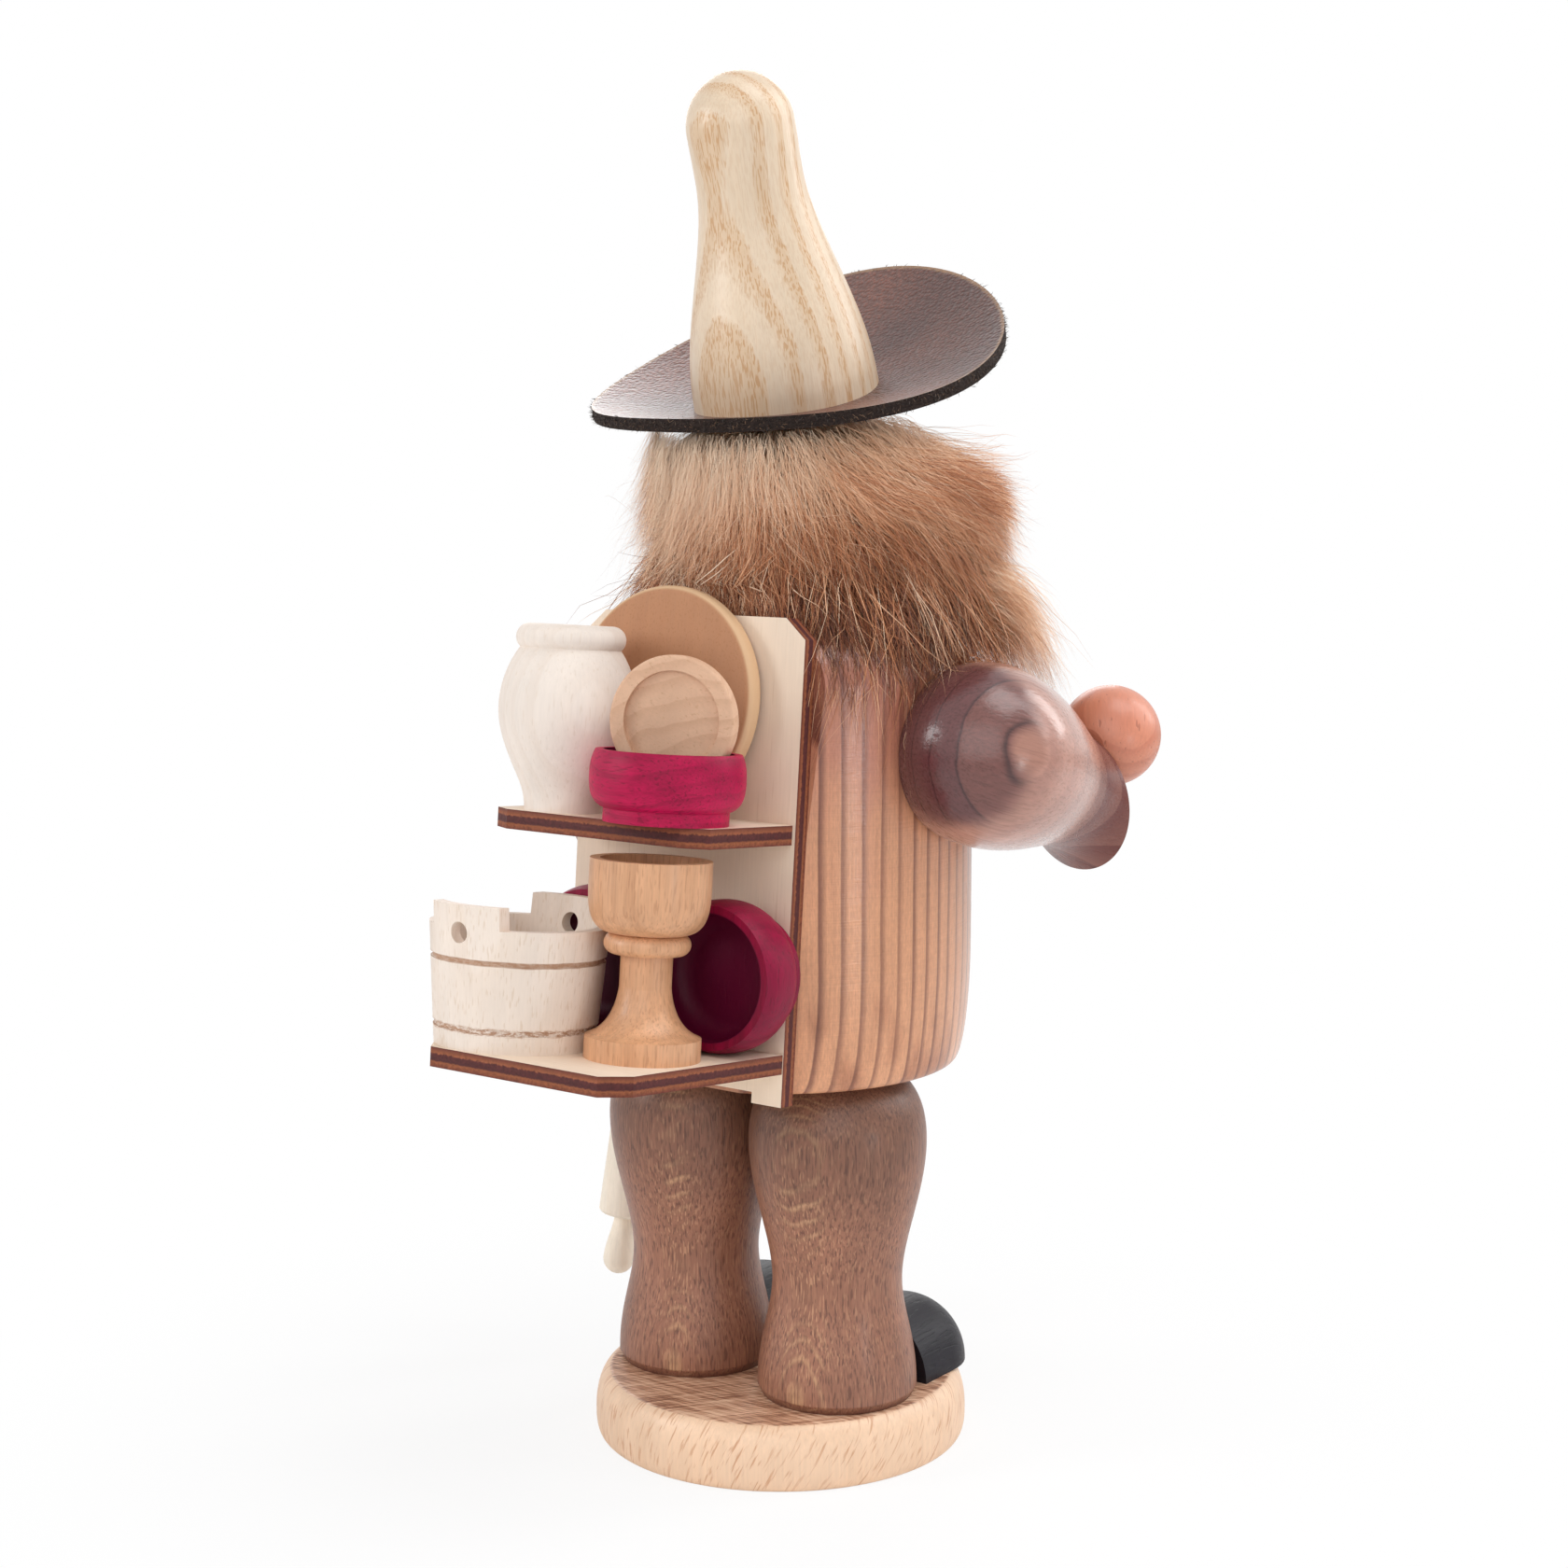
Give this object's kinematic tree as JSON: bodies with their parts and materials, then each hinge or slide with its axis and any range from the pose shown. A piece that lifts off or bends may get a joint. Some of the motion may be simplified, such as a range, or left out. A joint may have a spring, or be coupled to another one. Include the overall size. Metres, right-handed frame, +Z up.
{
  "type": "incense smoker figure",
  "caption": "Turned wooden pedlar figure with a hollow body that lifts off over an incense dish, so smoke leaves by the mouth; it carries a pack of woodenware.",
  "frame": {"origin": "centre of the base's underside", "axes": "+Z up through the figure, face towards -Y, pack towards +Y, the figure's right hand at -X"},
  "size_m": [0.104, 0.1116, 0.2206],
  "materials": {
    "base_beech": "satin lacquer",
    "leg_stain": "satin brown stain",
    "shoe_black": "satin black paint",
    "dowel_wood": "raw",
    "plug_wood": "raw",
    "dish_brass": "pressed, dulled",
    "torso_softwood": "satin lacquer",
    "face_wood": "satin lacquer",
    "nose_wood": "satin lacquer",
    "fur": "long hair",
    "brim_leather": "pebbled",
    "crown_ash": "satin lacquer",
    "sleeve_walnut": "gloss lacquer",
    "hand_wood": "satin lacquer",
    "pin_wood": "raw",
    "plywood": "raw faces with burnt cut edges",
    "jar_wood": "raw",
    "large_plate_wood": "raw",
    "small_plate_wood": "raw",
    "bowl_red": "red stain",
    "goblet_wood": "satin",
    "tub_wood": "raw with burnt hoop lines"
  },
  "bodies": {
    "stand": {"base_disc": "base_beech", "right_leg": "leg_stain", "left_leg": "leg_stain", "right_shoe": "shoe_black", "left_shoe": "shoe_black", "leg_base_dowels": "dowel_wood", "leg_hip_dowels": "dowel_wood", "hip_plug": "plug_wood"},
    "incense_dish": {"incense_dish": "dish_brass"},
    "upper_figure": {"torso": "torso_softwood", "head": "face_wood", "nose": "nose_wood", "hair_fur": "fur", "beard_fur": "fur", "moustache_fur": "fur", "hat_brim": "brim_leather", "hat_crown": "crown_ash", "hat_dowel": "dowel_wood", "right_arm": "sleeve_walnut", "left_arm": "sleeve_walnut", "right_hand": "hand_wood", "left_hand": "hand_wood", "shoulder_dowels": "dowel_wood", "hand_pegs": "dowel_wood", "rolling_pin": "pin_wood", "pack_board": "plywood", "upper_shelf": "plywood", "lower_shelf": "plywood", "jar": "jar_wood", "large_plate": "large_plate_wood", "small_plate": "small_plate_wood", "upper_bowl": "bowl_red", "right_leaning_bowl": "bowl_red", "left_leaning_bowl": "bowl_red", "goblet": "goblet_wood", "tub": "tub_wood"}
  },
  "joints": [
    {"name": "body_turn", "type": "hinge", "parent": "stand", "child": "incense_dish", "pos_m": [0, 0, 0.0697], "axis": [0, 0, 1], "continuous": true},
    {"name": "body_lift", "type": "slide", "parent": "incense_dish", "child": "upper_figure", "axis": [0, 0, 1], "range_m": [0, 0.08]}
  ]
}
